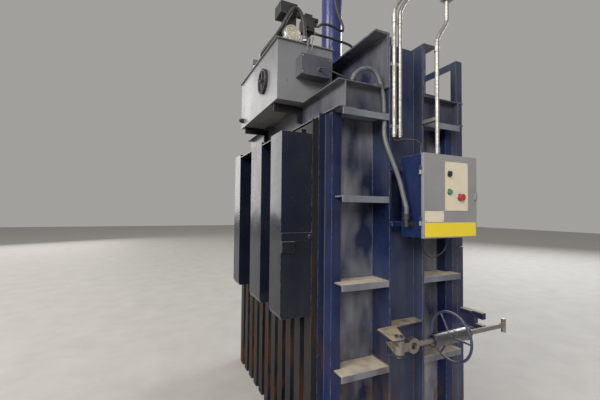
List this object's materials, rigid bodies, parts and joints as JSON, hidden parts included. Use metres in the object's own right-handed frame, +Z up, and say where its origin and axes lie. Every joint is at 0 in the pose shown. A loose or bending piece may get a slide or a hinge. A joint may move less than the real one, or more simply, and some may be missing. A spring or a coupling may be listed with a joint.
{
  "type": "recycling baler",
  "caption": "Tall downstroke baler: ribbed steel chamber, deep crosshead with a ram cylinder, rear oil tank and power unit, side control box and handwheel door latch.",
  "frame": {"origin": "on the floor, under the middle of the two main uprights", "axes": "+X to the front with the bale door and feed gate, +Y across and away from the side with the control box, +Z up"},
  "size_m": [1.476, 2.305, 3.645],
  "materials": {
    "paint_navy": "glossy navy paint with worn edges",
    "paint_grey": "satin grey paint",
    "paint_door": "satin grey paint with cream and yellow plates",
    "steel_bare": "worn bare steel",
    "rod_chrome": "polished",
    "cast_dark": "dark castings",
    "hose_rubber": "matte black",
    "conduit_grey": "grey sheath",
    "conduit_white": "off-white",
    "plate_cream": "cream",
    "knob_green": "gloss",
    "knob_red": "gloss",
    "knob_black": "gloss",
    "shoe_plastic": "matte"
  },
  "bodies": {
    "frame": {"base_frame": "paint_navy", "floor_plates": "steel_bare", "side_wall_left": "paint_navy", "side_wall_right": "paint_navy", "side_stiffeners": "paint_navy", "upright_left": "paint_navy", "upright_right": "paint_navy", "corner_posts": "paint_navy", "corner_bars": "paint_navy", "front_jambs": "paint_navy", "rear_wall": "paint_navy", "rear_channels": "paint_navy", "guard_box_near": "paint_navy", "guard_box_middle": "paint_navy", "guard_box_far": "paint_navy", "guard_header": "paint_navy", "guard_strap": "paint_navy", "ring_ends": "paint_navy", "ring_sides": "paint_navy", "crosshead_rear": "paint_navy", "crosshead_front": "paint_navy", "cylinder_mount": "paint_navy", "cylinder_barrel": "paint_navy", "cylinder_cap": "paint_navy", "tank": "paint_grey", "tank_lid": "paint_grey", "tank_skid": "paint_navy", "inspection_cover": "cast_dark", "drain_plug": "cast_dark", "motor": "paint_grey", "fan_cover": "plate_cream", "pump": "steel_bare", "valve_block": "cast_dark", "return_filter": "steel_bare", "junction_box": "paint_grey", "suction_hose": "conduit_grey", "pressure_hose": "hose_rubber", "return_hose": "hose_rubber", "conduits": "conduit_white", "flex_conduit": "conduit_grey", "flex_fittings": "cast_dark", "cables": "hose_rubber", "control_box": "paint_navy", "latch_bracket": "paint_navy", "latch_pin": "steel_bare", "hinge_pins": "paint_navy", "gate_guides": "paint_navy"},
    "ram": {"piston_rod": "rod_chrome", "platen": "paint_navy", "platen_shoes": "shoe_plastic"},
    "bale_door": {"bale_door": "paint_navy", "door_panels": "paint_navy"},
    "feed_gate": {"feed_gate": "paint_navy"},
    "control_door": {"control_door": "paint_door"},
    "start_button": {"start_button": "knob_green"},
    "stop_button": {"stop_button": "knob_red"},
    "selector_switch": {"selector_switch": "knob_black"},
    "latch_arm": {"latch_link": "steel_bare"},
    "latch_wheel": {"latch_wheel": "paint_navy"},
    "latch_hook": {"latch_hook": "steel_bare"}
  },
  "joints": [
    {"name": "ram_slide", "type": "slide", "parent": "frame", "child": "ram", "axis": [0, 0, 1], "range_m": [-1, 0]},
    {"name": "bale_door_swing", "type": "hinge", "parent": "frame", "child": "bale_door", "pos_m": [0.634, 0.9, 0.7], "axis": [0, 0, 1], "range_deg": [0, 170]},
    {"name": "feed_gate_lift", "type": "slide", "parent": "frame", "child": "feed_gate", "axis": [0, 0, 1], "range_m": [0, 0.64]},
    {"name": "control_door_swing", "type": "hinge", "parent": "frame", "child": "control_door", "pos_m": [-0.0775, -1.14, 1.394], "axis": [0, 0, -1], "range_deg": [0, 110]},
    {"name": "start_press", "type": "slide", "parent": "control_door", "child": "start_button", "axis": [0, 1, 0], "range_m": [0, 0.005], "stiffness_N_per_m": 900},
    {"name": "stop_press", "type": "slide", "parent": "control_door", "child": "stop_button", "axis": [0, 1, 0], "range_m": [0, 0.005], "stiffness_N_per_m": 900},
    {"name": "selector_turn", "type": "hinge", "parent": "control_door", "child": "selector_switch", "pos_m": [0.128, -1.159, 1.766], "axis": [0, 1, 0], "range_deg": [-45, 45]},
    {"name": "latch_swing", "type": "hinge", "parent": "frame", "child": "latch_arm", "pos_m": [-0.209, -1.115, 0.796], "axis": [0, 0, 1], "range_deg": [-100, 8]},
    {"name": "wheel_spin", "type": "hinge", "parent": "latch_arm", "child": "latch_wheel", "pos_m": [0.186, -1.115, 0.796], "axis": [1, 0, 0], "range_deg": [0, 1800]},
    {"name": "hook_travel", "type": "slide", "parent": "latch_arm", "child": "latch_hook", "axis": [1, 0, 0], "range_m": [-0.03, 0]}
  ],
  "couplings": [
    {"joint": "hook_travel", "follows": "wheel_spin", "m_per_rad": -0.00095493}
  ]
}
